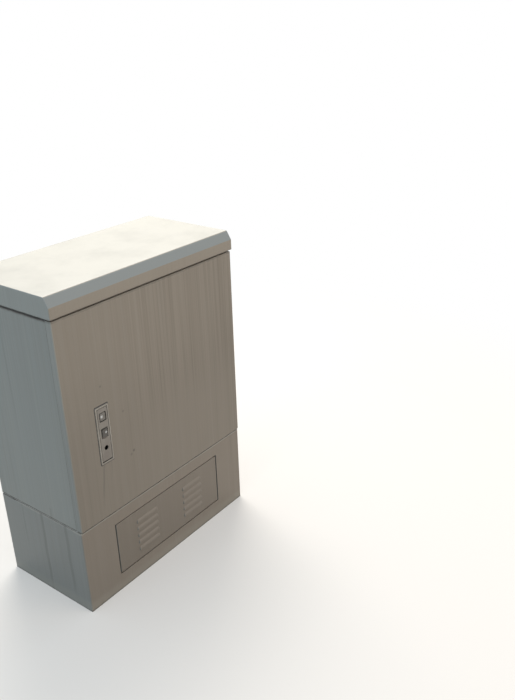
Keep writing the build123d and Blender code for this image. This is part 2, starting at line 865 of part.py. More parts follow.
with BuildPart() as handle_pin:
    cross_shaft(handle_pin_radius, lock_x - dish_outer[0] / 2, lock_x + dish_outer[0] / 2)
save(handle_pin, "handle_pin")

button_front = lock_front + 0.3
button_back = button_front + button_depth

with BuildPart() as push_button:
    plate(button_width, button_height, lock_x, button_z, button_front, button_depth, 2.0)
    fillet(faces().sort_by(Axis.Y)[0].edges(), 0.8)
    shaft(button_stem_radius, lock_x, button_z, button_back, dish_back + 2)
save(push_button, "push_button")

cylinder_back = lock_front + cylinder_depth

with BuildPart() as lock_cylinder:
    shaft(cylinder_radius, lock_x, cylinder_z, lock_front, plate_back)
    shaft(cylinder_radius + 1.5, lock_x, cylinder_z, plate_back, cylinder_back)
    shaft(
        plug_radius + running_clearance, lock_x, cylinder_z, lock_front, cylinder_back,
        Mode.SUBTRACT,
    )
save(lock_cylinder, "lock_cylinder")

with BuildPart() as lock_plug:
    shaft(plug_radius, lock_x, cylinder_z, lock_front, cylinder_back)
    plate(1.6, 7.0, lock_x, cylinder_z, lock_front, cylinder_depth / 2, mode=Mode.SUBTRACT)
save(lock_plug, "lock_plug")

cover_front = lock_front - dust_cover_gap - dust_cover_sheet

with BuildPart() as dust_cover:
    plate(
        dust_cover_width,
        dust_cover_height,
        lock_x,
        dust_cover_mid,
        cover_front,
        dust_cover_sheet,
        2.5,
    )
    shaft(
        dust_cover_rivet_radius + running_clearance, lock_x, rivet_z, cover_front, lock_front,
        Mode.SUBTRACT,
    )
save(dust_cover, "dust_cover")

with BuildPart() as dust_cover_rivet:
    shaft(dust_cover_rivet_radius, lock_x, rivet_z, cover_front - 0.3, plate_back + 0.6)
    shaft(2 * dust_cover_rivet_radius, lock_x, rivet_z, plate_back, plate_back + 0.6)
save(dust_cover_rivet, "dust_cover_rivet")

# Latch cam: a spindle with a square key socket, a plate, and one drive pin for each rod
pin_offset = rod_pin_arm * math.cos(math.radians(cam_swing / 2))
rod_travel = 2 * rod_pin_arm * math.sin(math.radians(cam_swing / 2))
pin_places = {"upper": (pin_offset, -rod_travel / 2), "lower": (-pin_offset, rod_travel / 2)}

with BuildPart() as latch_cam:
    shaft(spindle_radius, lock_x, spindle_z, plate_back + spindle_recess, cam_back)
    with BuildSketch(Plane.XZ.offset(-cam_front)):
        with Locations((lock_x, spindle_z)):
            with Locations(*pin_places.values()):
                Circle(1.6 * rod_pin_radius)
            Circle(1.8 * spindle_radius)
        make_hull()
    extrude(amount=-cam_sheet)
    for pin_x, pin_z in pin_places.values():
        shaft(rod_pin_radius, lock_x + pin_x, spindle_z + pin_z, cam_back, rod_back + 2)
    plate(
        4.0, 4.0, lock_x, spindle_z, plate_back + spindle_recess, spindle_recess,
        mode=Mode.SUBTRACT,
    )
save(latch_cam, "latch_cam")

# Rods: flat bars with a cross slot for the cam's pin, drawn back while the door is free
rod_mid = (rod_pin_arm + pin_offset) / 2
rod_xs = {"upper": lock_x + rod_mid, "lower": lock_x - rod_mid}
rod_tips = {
    "upper": opening_top + rod_reach - rod_travel,
    "lower": opening_bottom - rod_reach + rod_travel,
}
rod_slot_length = rod_pin_arm - pin_offset + 2 * (rod_pin_radius + running_clearance)
rod_slot_height = 2 * (rod_pin_radius + rod_slot_clearance)

for side, tip in rod_tips.items():
    away = 1 if side == "upper" else -1
    pin_z = spindle_z + pin_places[side][1]
    tail = pin_z - away * (rod_slot_height / 2 + rod_sheet)
    with BuildPart() as lock_rod:
        with BuildSketch(Plane.XZ.offset(-rod_front)):
            with Locations((rod_xs[side], (tip + tail) / 2)):
                Rectangle(rod_width, abs(tip - tail))
            chamfer(vertices().sort_by(Axis.Y)[::away][-2:], rod_width / 4)
            with Locations((rod_xs[side], pin_z)):
                Rectangle(rod_slot_length, rod_slot_height, mode=Mode.SUBTRACT)
        extrude(amount=-rod_sheet)
    save(lock_rod, f"{side}_lock_rod")

# Four guides hold the rods off the door's skin
guide_back = rod_back + guide_clearance + guide_wall
guide_width = rod_width + 2 * (guide_clearance + guide_wall)
guide_places = {
    "upper": (lock_top + 30, rod_tips["upper"] - 40),
    "lower": (lock_z - lock_height / 2 - 30, rod_tips["lower"] + 40),
}

with BuildPart() as rod_guides:
    for side, heights in guide_places.items():
        for z in heights:
            plate(guide_width, guide_height, rod_xs[side], z, door_skin, guide_back - door_skin)
            plate(
                rod_width + 2 * guide_clearance,
                guide_height,
                rod_xs[side],
                z,
                rod_front - guide_clearance,
                rod_sheet + 2 * guide_clearance,
                mode=Mode.SUBTRACT,
            )
save(rod_guides, "rod_guides")

# Keepers behind the frame, one for each rod
frame_back = frame_front + body_sheet
keeper_depth = rod_front - rod_gap - frame_back

with BuildPart() as rod_keepers:
    for side, z in (
        ("upper", opening_top + body_sheet + keeper_height / 2),
        ("lower", opening_bottom - body_sheet - keeper_height / 2),
    ):
        plate(keeper_width, keeper_height, rod_xs[side], z, frame_back, keeper_depth, 2.0)
save(rod_keepers, "rod_keepers")

# Equipment rails: punched channels from the floor to the top
rail_xs = {"left": rail_left_x, "right": rail_left_x + rail_spacing}
rail_front = frame_front + rail_setback
rail_height = top_under - floor_top
rail_hole_rows = int(rail_height // rail_hole_pitch) - 2

for side, rail_x in rail_xs.items():
    with BuildPart() as rail:
        with BuildSketch(Plane.XY.offset(floor_top)):
            with Locations((rail_x, rail_front + rail_depth / 2)):
                Rectangle(rail_width, rail_depth)
            with Locations((rail_x, rail_front + rail_depth / 2 + rail_sheet)):
                Rectangle(rail_width - 2 * rail_sheet, rail_depth, mode=Mode.SUBTRACT)
        extrude(amount=rail_height)
        with BuildSketch(Plane.XZ.offset(-rail_front)):
            for z in spread(rail_hole_rows, rail_hole_pitch):
                with Locations((rail_x, (floor_top + top_under) / 2 + z)):
                    Rectangle(rail_hole, rail_hole)
        extrude(amount=-rail_sheet, mode=Mode.SUBTRACT)
    save(rail, f"equipment_rail_{side}")

# Splice trays: shallow boxes between the rails, with a front for the adapters
tray_mid_x = rail_left_x + rail_spacing / 2
tray_inner = rail_spacing - rail_width - 2
tray_front = rail_front - tray_reach_front
tray_back = rail_front + tray_reach_back
tray_zs = [base_height + tray_first_height + i * tray_pitch for i in range(tray_count)]
adapter_xs = [tray_mid_x + x for x in spread(adapter_count, adapter_pitch)]
adapter_rise = tray_height / 2 + tray_sheet / 2

with BuildPart() as tray:
    block(
        (tray_mid_x - tray_inner / 2, tray_mid_x + tray_inner / 2),
        (tray_front, tray_back),
        (0, tray_height),
    )
    fillet(edges().filter_by(Axis.Z), 3)
    offset(amount=-tray_sheet, openings=faces().sort_by(Axis.Z)[-1])
    for side in (-1, 1):
        ear = sorted((
            tray_mid_x + side * tray_inner / 2,
            tray_mid_x + side * (rail_spacing / 2 + rail_width / 2 - 2),
        ))
        block(ear, (rail_front - tray_sheet, rail_front), (0, tray_height))
    with BuildSketch(Plane.XZ.offset(-tray_front)):
        with Locations(*[(x, adapter_rise) for x in adapter_xs]):
            Rectangle(adapter_width, adapter_height)
    extrude(amount=-tray_sheet, mode=Mode.SUBTRACT)

for i, z in enumerate(tray_zs):
    with BuildPart() as splice_tray:
        with Locations((0, 0, z)):
            add(tray.part)
    save(splice_tray, f"splice_tray_{i + 1}")

with BuildPart() as adapter:
    block(
        (-adapter_width / 2, adapter_width / 2),
        (tray_front - adapter_reach / 2, tray_front + adapter_reach / 2),
        (-adapter_height / 2, adapter_height / 2),
    )
    block(
        (-adapter_width / 2 + 1.5, adapter_width / 2 - 1.5),
        (tray_front - adapter_reach / 2, tray_front - 1),
        (-adapter_height / 2 + 1.5, adapter_height / 2 - 1.5),
        mode=Mode.SUBTRACT,
    )

with BuildPart() as fibre_adapters:
    with Locations(*[(x, 0, z + adapter_rise) for x in adapter_xs for z in tray_zs]):
        add(adapter.part)
save(fibre_adapters, "fibre_adapters")

# Spool plate between the right rail and the side, with its spools
spool_left = rail_xs["right"] + rail_width / 2
spool_x = (spool_left + inner_x) / 2
spool_mid_z = (tray_zs[0] + tray_zs[-1] + tray_height) / 2
spool_zs = [spool_mid_z + z for z in spread(spool_count, spool_pitch)]
spool_plate_front = rail_front + rail_depth
spool_plate_height = spool_pitch * spool_count

with BuildPart() as spool_plate:
    low = spool_mid_z - spool_plate_height / 2
    tall = (low, low + spool_plate_height)
    block((spool_left, inner_x), (spool_plate_front - spool_plate_sheet, spool_plate_front), tall)
    block(
        (inner_x - spool_plate_sheet, inner_x),
        (spool_plate_front, spool_plate_front + spool_plate_flange),
        tall,
    )
    block((spool_left, spool_left + spool_plate_sheet), (rail_front, spool_plate_front), tall)
save(spool_plate, "spool_plate")

spool_back = spool_plate_front - spool_plate_sheet

with BuildPart() as fibre_spools:
    for z in spool_zs:
        shaft(spool_core_radius, spool_x, z, spool_back - spool_length, spool_back)
        shaft(spool_flange_radius, spool_x, z, spool_back - spool_flange, spool_back)
        shaft(
            spool_flange_radius, spool_x, z,
            spool_back - spool_length, spool_back - spool_length + spool_flange,
        )
        shaft(
            spool_core_radius - spool_flange, spool_x, z,
            spool_back - spool_length, spool_back - spool_flange, Mode.SUBTRACT,
        )
save(fibre_spools, "fibre_spools")

# Cable clamps on a bar above the floor's grommets
clamp_z = floor_top + clamp_bar_height
bar_front = grommet_y + clamp_cable_radius + clamp_wall
bar_low = clamp_z - clamp_bar_width / 2
clamp_xs = [x for x, y in grommet_places]

with BuildPart() as clamp_bar:
    across = (-inner_x, inner_x)
    block(across, (bar_front, bar_front + clamp_bar_sheet), (bar_low, bar_low + clamp_bar_width))
    block(across, (bar_front, bar_front + clamp_bar_depth), (bar_low, bar_low + clamp_bar_sheet))
save(clamp_bar, "clamp_bar")

with BuildPart() as cable_clamps:
    for x in clamp_xs:
        block(
            (x - clamp_width / 2, x + clamp_width / 2),
            (grommet_y - clamp_cable_radius - clamp_wall, bar_front),
            (clamp_z - clamp_height / 2, clamp_z + clamp_height / 2),
        )
        with BuildSketch(Plane.XY.offset(clamp_z - clamp_height / 2)):
            with Locations((x, grommet_y)):
                Circle(clamp_cable_radius)
        extrude(amount=clamp_height, mode=Mode.SUBTRACT)
save(cable_clamps, "cable_clamps")

# Rubber grommets in the floor, one below each clamp
with BuildPart() as floor_grommets:
    for x in clamp_xs:
        hole = grommet_hole_radius
        rim = hole + grommet_lip
        neck = clamp_cable_radius + grommet_wall / 2
        under = -floor_sheet - grommet_lip_height
        with BuildSketch(Plane(origin=(x, grommet_y, floor_top), x_dir=(1, 0, 0), z_dir=(0, -1, 0))):
            with BuildLine():
                Polyline(
                    (neck, grommet_rise),
                    (neck + grommet_wall, grommet_rise),
                    (hole - grommet_wall, 2 * grommet_wall),
                    (rim, grommet_lip_height),
                    (rim, 0),
                    (hole, 0),
                    (hole, -floor_sheet),
                    (rim, -floor_sheet),
                    (rim, under),
                    (hole - 2 * grommet_wall, under),
                    (hole - 2 * grommet_wall, grommet_wall),
                    close=True,
                )
            make_face()
        revolve(axis=Axis((x, grommet_y, 0), (0, 0, 1)))
save(floor_grommets, "floor_grommets")

# Earth bar on two posts near the front
earth_y = frame_front + earth_setback
earth_z = floor_top + earth_bar_height
earth_post_xs = spread(2, earth_bar_length - 4 * earth_post_radius)
earth_bolt_xs = spread(earth_bolt_count, earth_bolt_pitch)

with BuildPart() as earth_posts:
    for x in earth_post_xs:
        upright((earth_post_radius, 6), x, earth_y, floor_top, earth_z)
save(earth_posts, "earth_posts")

with BuildPart() as earth_bar:
    block(
        (-earth_bar_length / 2, earth_bar_length / 2),
        (earth_y - earth_bar_width / 2, earth_y + earth_bar_width / 2),
        (earth_z, earth_z + earth_bar_thickness),
    )
    for x in earth_bolt_xs:
        upright(earth_bolt_radius, x, earth_y, earth_z, earth_z + earth_bar_thickness, Mode.SUBTRACT)
save(earth_bar, "earth_bar")

with BuildPart() as earth_bolts:
    for x in earth_bolt_xs:
        head_low = earth_z + earth_bar_thickness
        head_top = head_low + 1.3 * earth_bolt_radius
        upright(earth_bolt_radius, x, earth_y, earth_z - 2 * earth_bolt_radius, head_low)
        upright((1.8 * earth_bolt_radius, 6), x, earth_y, head_low, head_top)
save(earth_bolts, "earth_bolts")
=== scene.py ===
import math

import bpy
from mathutils import Matrix, Vector


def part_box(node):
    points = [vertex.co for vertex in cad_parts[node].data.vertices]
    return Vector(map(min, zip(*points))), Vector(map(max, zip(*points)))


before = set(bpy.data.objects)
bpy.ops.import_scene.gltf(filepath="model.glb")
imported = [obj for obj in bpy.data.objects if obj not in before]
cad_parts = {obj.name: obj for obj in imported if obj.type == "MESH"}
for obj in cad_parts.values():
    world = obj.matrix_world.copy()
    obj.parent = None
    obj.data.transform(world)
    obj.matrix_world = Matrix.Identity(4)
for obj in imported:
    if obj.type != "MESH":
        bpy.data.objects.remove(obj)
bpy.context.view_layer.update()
bpy.ops.object.select_all(action="DESELECT")
print("frame loaded")

nodeGrid = {"across": 220, "down": 320, "perRow": 12}  # How nodes lie in the node editor


# Node helpers. All but node itself return the socket that carries their result.
def node(tree, kind, **settings):
    row, column = divmod(len(tree.nodes), nodeGrid["perRow"])
    made = tree.nodes.new(kind)
    made.location = (column * nodeGrid["across"], -row * nodeGrid["down"])
    for key, value in settings.items():
        setattr(made, key, value)
    return made


def maths(tree, operation, first, second=None, clamp=False):
    made = node(tree, "ShaderNodeMath", operation=operation, use_clamp=clamp)
    for socket, value in zip(made.inputs, (first, second)):
        if value is None:
            continue
        if isinstance(value, (int, float)):
            socket.default_value = value
        else:
            tree.links.new(value, socket)
    return made.outputs[0]


def plus(tree, first, second):
    return maths(tree, "ADD", first, second)


def times(tree, first, *others):
    for other in others:
        first = maths(tree, "MULTIPLY", first, other)
    return first


def mixed(tree, factor, first, second, blend="MIX"):
    made = node(tree, "ShaderNodeMix", data_type="RGBA", blend_type=blend)
    sockets = (made.inputs[0], made.inputs[6], made.inputs[7])  # Factor, A and B for colours
    for socket, value in zip(sockets, (factor, first, second)):
        if isinstance(value, (int, float)):
            socket.default_value = value
        elif isinstance(value, tuple):
            socket.default_value = (*value, 1)
        else:
            tree.links.new(value, socket)
    return made.outputs[2]


def laid(tree, mask, share, under, over):
    # One colour over another, where the mask says and to its share
    return mixed(tree, times(tree, mask, share), under, over)


def tinted(tree, colour, tone):
    return mixed(tree, 1.0, colour, tone, "MULTIPLY")


def axisOf(tree, letter, source="Object"):
    split = node(tree, "ShaderNodeSeparateXYZ")
    tree.links.new(node(tree, "ShaderNodeTexCoord").outputs[source], split.inputs[0])
    return split.outputs[letter]


def placed(tree, scale, move=(0, 0, 0)):
    mapping = node(tree, "ShaderNodeMapping")
    mapping.inputs["Scale"].default_value = scale
    mapping.inputs["Location"].default_value = move
    tree.links.new(node(tree, "ShaderNodeTexCoord").outputs["Object"], mapping.inputs["Vector"])
    return mapping.outputs["Vector"]


def noise(tree, scale, detail, rough=0.55, move=(0, 0, 0)):
    made = node(tree, "ShaderNodeTexNoise")
    made.inputs["Scale"].default_value = 1.0
    made.inputs["Detail"].default_value = detail
    made.inputs["Roughness"].default_value = rough
    tree.links.new(placed(tree, scale, move), made.inputs["Vector"])
    return made.outputs["Fac"]


def ramp(tree, source, stops):
    made = node(tree, "ShaderNodeValToRGB")
    for element, (place, value) in zip(made.color_ramp.elements, stops):
        element.position = place
        element.color = (value, value, value, 1)
    tree.links.new(source, made.inputs["Fac"])
    return made.outputs["Color"]


def smooth(tree, value, start, end):
    # 0 at start and 1 at end, whichever of the two is larger
    made = node(tree, "ShaderNodeMapRange", interpolation_type="SMOOTHSTEP")
    made.inputs["From Min"].default_value = min(start, end)
    made.inputs["From Max"].default_value = max(start, end)
    made.inputs["To Min"].default_value = float(start > end)
    made.inputs["To Max"].default_value = float(start < end)
    tree.links.new(value, made.inputs["Value"])
    return made.outputs[0]


def bandOf(tree, value, low, high, soft):
    # 1 between low and high, fading over soft outside them
    rise = smooth(tree, value, low - soft, low)
    return times(tree, rise, smooth(tree, value, high + soft, high))


def boxMask(tree, low, high, soft):
    # 1 inside a box given by its low and high corner. None in the low corner leaves that axis free.
    mask = 1.0
    for letter, start, stop in zip("XYZ", low, high):
        if start is not None:
            mask = times(tree, mask, bandOf(tree, axisOf(tree, letter), start, stop, soft))
    return mask


def spotMask(tree, centre, size):
    # 1 at a point, fading to 0 at half of size away from it
    apart = node(tree, "ShaderNodeVectorMath", operation="DISTANCE")
    tree.links.new(node(tree, "ShaderNodeTexCoord").outputs["Object"], apart.inputs[0])
    apart.inputs[1].default_value = centre
    return smooth(tree, apart.outputs["Value"], size / 2, 0)


# Each pattern: repeats per metre along X, Y and Z, detail, roughness, and where it has a ramp,
# the ramp's two stops, each a place and a value
patterns = {
    "fading": ((3, 3, 2), 4, 0.6, ((0.35, 0.0), (0.68, 1.0))),
    "fineRuns": ((230, 230, 1.6), 3, 0.62, ((0.42, 0.0), (0.66, 1.0))),
    "wideRuns": ((62, 62, 0.8), 3, 0.6, ((0.42, 0.0), (0.7, 1.0))),
    "washedLines": ((120, 120, 1.2), 3, 0.6, ((0.5, 0.0), (0.74, 1.0))),
    "rainPatches": ((5, 5, 1.3), 2, 0.5, ((0.36, 0.3), (0.7, 1.0))),
    "specks": ((280, 280, 220), 2, 0.5, ((0.75, 0.0), (0.8, 1.0))),
    "brokenShadeAndGrime": ((60, 60, 60), 4, 0.6, ((0.3, 0.35), (0.62, 1.0))),
    "brokenDrip": ((90, 90, 12), 3, 0.6, ((0.25, 0.55), (0.6, 1.0))),
    "dripWander": ((1, 1, 9), 2, 0.5),
    "raggedSplash": ((14, 14, 14), 5, 0.65),
    "lyingDust": ((11, 11, 11), 6, 0.62, ((0.42, 0.0), (0.75, 0.32))),
    "paintGrain": ((900, 900, 900), 2, 0.5),
    "sheetWaves": ((6, 6, 4), 1, 0.4),
    "dullMetal": ((25, 25, 25), 4, 0.55),
    "metalGrain": ((300, 300, 300), 3, 0.55),
    "agedPatches": ((18, 18, 18), 5, 0.6, ((0.38, 0.0), (0.68, 1.0))),
    "scuffs": ((160, 30, 160), 4, 0.7, ((0.66, 0.0), (0.8, 1.0))),
}


def pattern(tree, kind, move=(0, 0, 0)):
    # The move slides a pattern, so that no two pieces have it alike
    scale, detail, rough, *stops = patterns[kind]
    made = noise(tree, scale, detail, rough, move)
    return ramp(tree, made, stops[0]) if stops else made


def startMaterial(name):
    material = bpy.data.materials.new(name)
    material.use_nodes = True
    tree = material.node_tree
    return material, tree, tree.nodes["Principled BSDF"]


def finishSurface(tree, shader, colour, rough, relief, depth):
    made = node(tree, "ShaderNodeBump")
    made.inputs["Strength"].default_value = 1.0
    made.inputs["Distance"].default_value = depth
    tree.links.new(relief, made.inputs["Height"])
    tree.links.new(made.outputs["Normal"], shader.inputs["Normal"])
    tree.links.new(colour, shader.inputs["Base Color"])
    tree.links.new(rough, shader.inputs["Roughness"])


def dressed(material, *names):
    for name in names:
        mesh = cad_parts[name].data
        mesh.materials.clear()
        mesh.materials.append(material)


def corners(name):
    return [Vector(c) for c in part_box(name)]


# Outer paint: powder coat with fine rain streaks, specks and a few dark runs, and painted
# shade with some grime at edges and seams. Painted light as well: highlights on edges, a
# colder tone on the side faces, sunlight on the flat top and sky light on slopes. The side
# tint and a darkening towards the bottom multiply the coat, and the other colours lie over it.
paint = {
    "clean": (0.248, 0.217, 0.175),
    "faded": (0.270, 0.238, 0.195),
    # The next is painted sky light: a colder tone multiplied onto faces at the sides
    "sides": (0.93, 1.107, 1.27),
    # The next darkens the coat towards the bottom
    "lowerDarkening": (0.86, 0.86, 0.86),
    "streak": (0.144, 0.123, 0.097),
    # The next is used for pale washed lines and for painted highlights
    "paleWashAndHighlight": (0.307, 0.296, 0.259),
    # The next two are painted light: sky light on slopes and sunlight on the flat top
    "paintedSkyOnSlope": (0.210, 0.246, 0.256),
    "paintedSunlight": (0.575, 0.54, 0.47),
    "dust": (0.306, 0.290, 0.245),
    # The next is used for real grime and dirt marks and for painted shade
    "grimeAndShade": (0.052, 0.049, 0.044),
    "fineShare": 0.6, "wideShare": 0.4, "washedShare": 0.55,
    "speckShare": 0.3, "paintedSkyOnSlopeShare": 0.75, "splashShare": 0.3, "splashEdge": 0.7,
    "roughness": 0.44, "streakRoughness": 0.3, "fadedRoughness": 0.1,
    "waveHeight": 14.0, "grainDepth": 0.00005,
}
drips = {"wander": 0.012, "spread": 50, "core": 0.25, "edge": 0.8}  # The last two of the width
facing = {"slope": (0.4, 0.7), "slopeSoft": 0.15, "flat": (0.9, 0.995)}  # Z of the normal


def rainMask(tree, look, upright):
    # Noise drawn out along Z, on the faces that stand upright
    seed = look["seed"]
    fine = times(tree, pattern(tree, "fineRuns", (seed, 2, 0)), paint["fineShare"])
    wide = times(tree, pattern(tree, "wideRuns", (seed, 5, 0)), paint["wideShare"])
    runs = times(tree, plus(tree, fine, wide), upright)
    amount = times(tree, pattern(tree, "rainPatches", (seed, 9, 0)), look["streaks"])
    for low, high, soft, extra in look.get("streakPlaces", ()):
        amount = plus(tree, amount, times(tree, boxMask(tree, low, high, soft), extra))
    return maths(tree, "MULTIPLY", runs, amount, clamp=True)


def dripMask(tree, seed, height, letter, place, top, length, width, lean):
    # One line that leans and wanders a little, and fades downwards
    wander = pattern(tree, "dripWander", (place * drips["spread"], 0, seed))
    wander = times(tree, maths(tree, "SUBTRACT", wander, 0.5), drips["wander"])
    aside = times(tree, maths(tree, "SUBTRACT", top, height), lean)
    across = plus(tree, plus(tree, axisOf(tree, letter), wander), aside)
    core = width * drips["core"]
    line = bandOf(tree, across, place - core, place + core, width * drips["edge"])
    fade = bandOf(tree, height, top - length / 2, top, length / 2)
    below = maths(tree, "LESS_THAN", height, top)
    return times(tree, line, fade, below, pattern(tree, "brokenDrip", (seed, place, 3)))


def paintMaterial(name, look):
    material, tree, shader = startMaterial(name)
    seed = look["seed"]
    up = axisOf(tree, "Z", "Normal")
    upright = maths(tree, "SUBTRACT", 1.0, maths(tree, "ABSOLUTE", up), clamp=True)
    height = axisOf(tree, "Z")

    # Broad fading of the coat, and painted sky light: a colder tone on the faces at the sides
    fading = pattern(tree, "fading", (seed, 0, 0))
    colour = tinted(tree, mixed(tree, fading, paint["clean"], paint["faded"]), look["tone"])
    sideways = maths(tree, "ABSOLUTE", axisOf(tree, "X", "Normal"))
    colour = mixed(tree, sideways, colour, tinted(tree, colour, paint["sides"]))

    # Dark rain streaks and pale washed lines between them
    streaks = rainMask(tree, look, upright)
    colour = mixed(tree, streaks, colour, paint["streak"])
    washed = times(tree, pattern(tree, "washedLines", (seed, 8, 0)), upright)
    colour = laid(tree, washed, look["streaks"] * paint["washedShare"], colour, paint["paleWashAndHighlight"])

    # Painted highlights: places made paler where light catches them, such as a lip or an edge
    for low, high, soft, strength in look.get("paintedHighlightPlaces", ()):
        colour = laid(tree, boxMask(tree, low, high, soft), strength, colour, paint["paleWashAndHighlight"])

    # The coat darkens towards the bottom, between two heights
    if "lowerDarkening" in look:
        lowerDarkening = smooth(tree, height, *look["lowerDarkening"])
        colour = mixed(tree, lowerDarkening, tinted(tree, colour, paint["lowerDarkening"]), colour)

    # Fine specks all over, and the few marks that stand out
    specks = pattern(tree, "specks", (seed, 1, 4))
    colour = laid(tree, specks, paint["speckShare"], colour, paint["grimeAndShade"])
    for centre, size, strength in look.get("marks", ()):
        colour = laid(tree, spotMask(tree, centre, size), strength, colour, paint["grimeAndShade"])

    # Painted shade in seams, gaps and under overhangs, with some grime, broken up by noise
    for low, high, soft, strength in look.get("shadeAndGrimePlaces", ()):
        broken = pattern(tree, "brokenShadeAndGrime", (seed, 6, 1))
        shadedAndGrimy = times(tree, boxMask(tree, low, high, soft), broken)
        colour = laid(tree, shadedAndGrimy, strength, colour, paint["grimeAndShade"])

    for letter, place, top, length, width, strength, lean in look.get("drips", ()):
        run = dripMask(tree, seed, height, letter, place, top, length, width, lean)
        colour = laid(tree, run, strength, colour, paint["grimeAndShade"])

    # Dust splashed up from the ground
    if "splash" in look:
        ragged = times(tree, pattern(tree, "raggedSplash"), look["splash"])
        above = maths(tree, "SUBTRACT", height, ragged)
        splash = bandOf(tree, above, -1, 0, look["splash"] * paint["splashEdge"])
        colour = laid(tree, splash, paint["splashShare"], colour, paint["dust"])

    # Painted sunlight on the flat top, painted sky light on slopes, and dust lying on the flat
    if "paintedSunlight" in look:
        slope = bandOf(tree, up, *facing["slope"], facing["slopeSoft"])
        colour = laid(tree, slope, paint["paintedSkyOnSlopeShare"], colour, paint["paintedSkyOnSlope"])
        flat = smooth(tree, up, *facing["flat"])
        colour = laid(tree, flat, look["paintedSunlight"], colour, paint["paintedSunlight"])
        colour = laid(tree, pattern(tree, "lyingDust", (seed, 3, 3)), flat, colour, paint["dust"])

    rough = plus(tree, times(tree, streaks, paint["streakRoughness"]), paint["roughness"])
    rough = plus(tree, rough, times(tree, fading, paint["fadedRoughness"]))
    waves = times(tree, pattern(tree, "sheetWaves", (seed, 7, 7)), paint["waveHeight"])
    relief = plus(tree, pattern(tree, "paintGrain"), waves)
    finishSurface(tree, shader, colour, rough, relief, paint["grainDepth"])
    return material


baseLow, baseHigh = corners("base_frame")
bodyLow, bodyHigh = corners("body_wrap")
roofLow, roofHigh = corners("roof_cap")
doorLow, doorHigh = corners("door_panel")
lockLow, lockHigh = corners("lock_frame")
lockX = (lockLow.x + lockHigh.x) / 2

# Places are low corner, high corner, softness and strength. Marks are centre, size and strength.
# Drips are axis, place on it, top, length, width, strength and lean.
basePaint = {
    "seed": 3.1, "streaks": 0.22, "tone": (0.85, 0.83, 0.83), "splash": 0.03,
    # Painted highlights along the base's top lip, where light catches it
    "paintedHighlightPlaces": [
        (
            (None, baseLow.y, baseHigh.z - 0.0025),
            (None, 0.09, baseHigh.z + 0.01), 0.001, 0.45,
        ),
        (
            (None, baseLow.y, baseHigh.z - 0.003),
            (None, baseLow.y + 0.03, baseHigh.z + 0.01), 0.002, 0.6,
        ),
        ((None, 0.0, baseHigh.z - 0.003), (None, 0.07, baseHigh.z + 0.01), 0.002, 0.4),
    ],
    # Painted shade with some grime: a contact shadow along the bottom, and the seams under the body
    "shadeAndGrimePlaces": [
        ((None, None, 0.0), (None, None, 0.0025), 0.003, 0.9),
        (
            (baseLow.x + 0.005, baseLow.y, baseHigh.z - 0.001),
            (baseHigh.x, baseLow.y + 0.03, baseHigh.z), 0.001, 0.75,
        ),
        ((None, 0.1, baseHigh.z - 0.001), (None, baseHigh.y, baseHigh.z), 0.001, 0.6),
    ],
    "drips": [
        ("Y", -0.003, baseHigh.z, 0.30, 0.007, 0.34, 0),
        ("Y", -0.095, baseHigh.z, 0.26, 0.008, 0.34, 0),
        ("Y", 0.072, baseHigh.z, 0.16, 0.005, 0.16, 0),
        ("X", 0.262, baseHigh.z, 0.12, 0.004, 0.14, 0),
    ],
}
dressed(paintMaterial("basePaint", basePaint), "base_frame")

coverPaint = {"seed": 8.3, "streaks": 0.16, "tone": (0.75, 0.735, 0.735)}
dressed(paintMaterial("accessCoverPaint", coverPaint), "access_cover")

bodyPaint = {
    "seed": 5.7, "streaks": 0.3, "tone": (0.95, 0.95, 0.95),
    # Painted shade with some grime: under the roof's edge and in the gaps at the body's bottom and
    # top
    "shadeAndGrimePlaces": [
        ((None, None, doorHigh.z - 0.004), (None, None, doorHigh.z + 0.01), 0.004, 0.35),
        ((None, None, bodyLow.z), (None, None, bodyLow.z + 0.002), 0.0015, 1.1),
        ((None, None, bodyHigh.z - 0.0015), (None, None, bodyHigh.z), 0.0015, 1.2),
    ],
    "drips": [
        ("Y", -0.045, doorLow.z + 0.03, 0.05, 0.006, 0.2, 0),
        ("Y", 0.03, doorHigh.z, 0.35, 0.004, 0.12, 0),
    ],
}
dressed(paintMaterial("bodyPaint", bodyPaint), "body_wrap")

doorPaint = {
    "seed": 1.9, "streaks": 0.30, "tone": (0.985, 0.98, 0.98),
    # The door darkens towards the bottom, fully below the first height and not above the second
    "lowerDarkening": (0.42, 0.72),  # Heights where the film is full and where it ends
    "streakPlaces": [((0.03, None, 0.56), (0.31, None, 0.80), 0.16, 0.42)],
    # A painted highlight: a pale line along the door's left edge
    "paintedHighlightPlaces": [
        (
            (doorLow.x, doorLow.y, None),
            (doorLow.x + 0.0018, doorLow.y + 0.0022, None), 0.001, 0.6,
        ),
    ],
    "marks": [
        ((lockX + 0.085, doorLow.y, 0.380), 0.011, 0.75),
        ((lockX + 0.076, doorLow.y, 0.373), 0.012, 0.35),
        ((lockX + 0.064, doorLow.y, 0.501), 0.010, 0.4),
        ((lockX + 0.005, doorLow.y, 0.593), 0.010, 0.4),
    ],
    # Painted shade with some grime around the lock plate, heaviest above and below, and under the
    # roof
    "shadeAndGrimePlaces": [
        (
            (lockLow.x - 0.0014, None, lockLow.z),
            (lockHigh.x + 0.0008, None, lockHigh.z), 0.001, 1.3,
        ),
        ((lockLow.x, None, lockHigh.z), (lockHigh.x, None, lockHigh.z + 0.003), 0.001, 1.6),
        ((lockLow.x, None, lockLow.z - 0.002), (lockHigh.x, None, lockLow.z), 0.001, 1.4),
        ((None, None, doorHigh.z - 0.003), (None, None, doorHigh.z + 0.01), 0.003, 0.35),
    ],
    "drips": [
        ("X", lockX - 0.012, lockLow.z, 0.13, 0.004, 0.3, 0.14),
        ("X", lockX + 0.012, lockLow.z, 0.06, 0.003, 0.12, 0.1),
    ],
}
dressed(paintMaterial("doorPaint", doorPaint), "door_panel")

